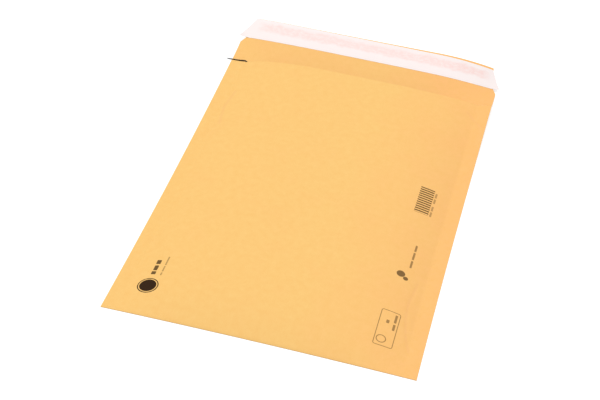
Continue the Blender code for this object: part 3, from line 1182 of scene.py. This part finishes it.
def bubble_tree():
    """Geometry nodes: a domed bubble on each point, turned and swollen as the point says."""
    tree, given = new_geometry_tree("Film bubbles", {"Diameter": "Float", "Sides": "Int"})
    radius = given["Diameter"] / 2
    cone = node(tree, "GeometryNodeMeshCone", {
        "Vertices": given["Sides"], "Side Segments": 3, "Fill Segments": 1,
        "Radius Top": radius * BUBBLE_TOP_SHARE, "Radius Bottom": radius, "Depth": 1.0})
    spot = node(tree, "ShaderNodeSeparateXYZ", {0: node(tree, "GeometryNodeInputPosition")})
    flat = node(tree, "ShaderNodeCombineXYZ", {0: spot["X"], 1: spot["Y"]})
    share = flat.vector("LENGTH") / radius
    domed = node(tree, "ShaderNodeCombineXYZ", {
        0: spot["X"], 1: spot["Y"], 2: 1 - share ** BUBBLE_POWER})
    # The rim share feeds the film's painted reflection, which makes each dome more opaque towards its
    # rim
    marked = node(tree, "GeometryNodeStoreNamedAttribute", {
        "Geometry": cone, "Name": "rim", "Value": share ** RIM_POWER},
        data_type="FLOAT", domain="POINT")
    dome = node(tree, "GeometryNodeSetPosition", {"Geometry": marked, "Position": domed})
    turn = node(tree, "GeometryNodeInputNamedAttribute", {"Name": "turn"}, data_type="FLOAT_VECTOR")
    swell = node(tree, "GeometryNodeInputNamedAttribute", {"Name": "swell"}, data_type="FLOAT")
    size = node(tree, "ShaderNodeCombineXYZ", {0: 1.0, 1: 1.0, 2: swell})
    copies = node(tree, "GeometryNodeInstanceOnPoints", {
        "Points": given["Geometry"], "Instance": dome, "Rotation": turn, "Scale": size})
    return end_geometry_tree(tree, copies, given["Material"])


def strip_place(form, insets_at, start, lift, x_share, reach):
    """A point of a strip on the flap, and its flat place measured from the strip's start."""
    left, right = insets_at(reach)
    x = left + (form.width - left - right) * x_share
    y = form.length + reach
    return form.place(x, y, form.raised(x, y) + form.paper + lift(x, reach)), (x, reach - start)


class MAILER_OT_adhesive(bpy.types.Operator):
    """Lay the band of adhesive on the flap"""
    bl_idname = "mailer.adhesive"
    bl_label = "Adhesive"

    def execute(self, context):
        form = MailerForm(context.scene)
        start = form.liner_start + ADHESIVE_OFFSET

        def lift(x, reach):
            across, along = ADHESIVE_RIDGE_RATES
            return ADHESIVE_TOP + ADHESIVE_RIDGE * noise.noise(Vector((x * across, reach * along, 0)))

        def place(share, reach):
            insets = (ADHESIVE_INSET, ADHESIVE_INSET)
            return strip_place(form, lambda _: insets, start, lift, share, reach)

        piece = sheet_mesh(
            "adhesive_band", evenly(0, 1, ADHESIVE_SHARE_STEP),
            evenly(start, start + ADHESIVE_DEPTH, STRIP_STEP), place, ADHESIVE_THICKNESS)
        dress(piece, make_adhesive(context.scene.mailer_strip), "adhesive_strip")
        return {"FINISHED"}


class MAILER_OT_release_liner(bpy.types.Operator):
    """Lay the release liner over the adhesive"""
    bl_idname = "mailer.release_liner"
    bl_label = "Release liner"

    def execute(self, context):
        form = MailerForm(context.scene)
        start = form.liner_start + LINER_SETBACK
        end = form.liner_start + LINER_DEPTH
        overhangs = (LINER_OVERHANG + LINER_EXTRA_OVERHANG, LINER_OVERHANG - LINER_RIGHT_TRIM)

        def insets_at(reach):
            share = (reach - start) / (end - start)
            return [FLAP_TIP_INSET * share - overhang * (1 - share) for overhang in overhangs]

        def lift(x, reach):
            from_middle = reach - form.liner_start - ADHESIVE_OFFSET - ADHESIVE_DEPTH / 2
            over_band = 1 / (1 + (from_middle / LINER_RISE_REACH) ** LINER_RISE_POWER)
            width, depth = LINER_RIPPLE_SIZE
            ripple = noise.noise(Vector((x / width, reach / depth, LINER_SEED)))
            outward = max(1 - (min(x, form.width - x) + LINER_OVERHANG) / LINER_CURL_WIDTH, 0)
            fade = ((end - reach) / (end - start)) ** LINER_CURL_FADE
            rest = LINER_THICKNESS + LINER_GAP + LINER_RIPPLE * (1 + ripple)
            return rest + LINER_RISE * over_band + LINER_CURL * outward ** LINER_CURL_BEND * fade

        piece = sheet_mesh(
            "liner_strip", evenly(0, 1, LINER_SHARE_STEP), evenly(start, end, STRIP_STEP),
            lambda share, reach: strip_place(form, insets_at, start, lift, share, reach),
            LINER_THICKNESS)
        dress(piece, make_liner_paper(context.scene.mailer_strip), "release_liner")
        return {"FINISHED"}


class MAILER_OT_tear_thread(bpy.types.Operator):
    """Lay the twisted opening thread across the mouth"""
    bl_idname = "mailer.tear_thread"
    bl_label = "Tear thread"

    def execute(self, context):
        form = MailerForm(context.scene)
        settings = context.scene.mailer_thread
        tucked = form.seam + THREAD_TUCK_LENGTH + 1 * MM
        stops = (THREAD_TRIM - THREAD_TAIL, form.seam, tucked, THREAD_END - THREAD_TRIM)
        route = []
        for x in spaced(stops, THREAD_STEPS):
            y = form.length + self.offset(form, x)
            z = form.raised(x, y) + form.paper + settings.diameter / 2 + THREAD_GAP
            route.append(form.place(x, y, z))
        mesh = bpy.data.meshes.new("thread_plies")
        mesh.from_pydata(route, [(i, i + 1) for i in range(len(route) - 1)], [])
        plies = new_object("thread_plies", mesh)
        yarn = make_yarn(settings)
        grow(plies, twist_tree(), {
            "Diameter": settings.diameter, "Pitch": settings.twist_pitch, "Material": yarn},
            sharp_angle=80)
        dress(plies, yarn, "tear_thread")
        return {"FINISHED"}

    def offset(self, form, x):
        """How far beyond the mouth the thread lies: it crosses the left seam, then tucks in
        under the front panel."""
        inward = clamped(x / form.seam)
        outside = THREAD_TAIL_OFFSET + (THREAD_OFFSET - THREAD_TAIL_OFFSET) * inward ** 2
        tuck = clamped((x - form.seam + THREAD_TUCK_START) / THREAD_TUCK_LENGTH)
        eased = tuck * tuck * (3 - 2 * tuck)
        return outside - (THREAD_OFFSET + THREAD_TUCK_DEPTH) * eased


def twist_tree():
    """Geometry nodes: three plies twisted round the path, tapering at its first end."""
    tree, given = new_geometry_tree("Twisted plies", {"Diameter": "Float", "Pitch": "Float"})
    path = node(tree, "GeometryNodeMeshToCurve", {0: given["Geometry"]})
    fine = node(tree, "GeometryNodeResampleCurve", {"Curve": path, "Count": THREAD_POINTS})
    length = node(tree, "GeometryNodeSplineParameter")["Length"]
    taper = ramp(length, 0.0, THREAD_TAPER, THREAD_TIP_SHARE, 1.0)
    swing = given["Diameter"] * PLY_SWING_SHARE * taper
    normal = node(tree, "GeometryNodeInputNormal")
    side = normal.vector("CROSS_PRODUCT", node(tree, "GeometryNodeInputTangent"))
    ring = node(tree, "GeometryNodeCurvePrimitiveCircle", {
        "Resolution": PLY_SIDES, "Radius": given["Diameter"] * PLY_RADIUS_SHARE})
    join = tree.nodes.new("GeometryNodeJoinGeometry")
    turns = length / given["Pitch"]
    for phase in (0, 2 * math.pi / 3, 4 * math.pi / 3):
        angle = turns.math("MULTIPLY_ADD", 2 * math.pi, phase)
        outward = normal.scaled(angle.math("COSINE") * swing)
        sideways = side.scaled(angle.math("SINE") * swing)
        moved = node(tree, "GeometryNodeSetPosition", {
            "Geometry": fine, "Offset": outward.vector("ADD", sideways)})
        sized = node(tree, "GeometryNodeSetCurveRadius", {"Curve": moved, "Radius": taper})
        ply = node(tree, "GeometryNodeCurveToMesh", {
            "Curve": sized, "Profile Curve": ring, "Fill Caps": True})
        set_inputs(join, {"Geometry": ply})
    return end_geometry_tree(tree, Value(join.outputs[0]), given["Material"])


OPERATORS = (
    MAILER_OT_stage, MAILER_OT_kraft_sheet, MAILER_OT_bubble_lining, MAILER_OT_adhesive,
    MAILER_OT_release_liner, MAILER_OT_tear_thread,
)
SETTINGS = {
    "mailer_kraft": KraftSettings,
    "mailer_lining": LiningSettings,
    "mailer_strip": StripSettings,
    "mailer_thread": ThreadSettings,
    "mailer_stage": StageSettings,
}


class MAILER_PT_sidebar(bpy.types.Panel):
    """Sizes and colours of the mailer, and the pieces that can be built"""
    bl_idname = "MAILER_PT_sidebar"
    bl_label = "Padded mailer"
    bl_space_type = "VIEW_3D"
    bl_region_type = "UI"
    bl_category = "Mailer"

    def draw(self, context):
        for attribute, group in SETTINGS.items():
            box = self.layout.box()
            settings = getattr(context.scene, attribute)
            for name in group.__annotations__:
                box.prop(settings, name)
        for operator in OPERATORS:
            self.layout.operator(operator.bl_idname)


def register():
    for attribute, group in SETTINGS.items():
        bpy.utils.register_class(group)
        setattr(bpy.types.Scene, attribute, PointerProperty(type=group))
    for operator in OPERATORS:
        bpy.utils.register_class(operator)
    bpy.utils.register_class(MAILER_PT_sidebar)


def unregister():
    bpy.utils.unregister_class(MAILER_PT_sidebar)
    for operator in reversed(OPERATORS):
        bpy.utils.unregister_class(operator)
    for attribute, group in reversed(list(SETTINGS.items())):
        delattr(bpy.types.Scene, attribute)
        bpy.utils.unregister_class(group)


def main():
    register()
    bpy.ops.mailer.stage()
    bpy.ops.mailer.kraft_sheet()
    bpy.ops.mailer.bubble_lining()
    bpy.ops.mailer.adhesive()
    bpy.ops.mailer.release_liner()
    bpy.ops.mailer.tear_thread()


if __name__ == "__main__":
    main()
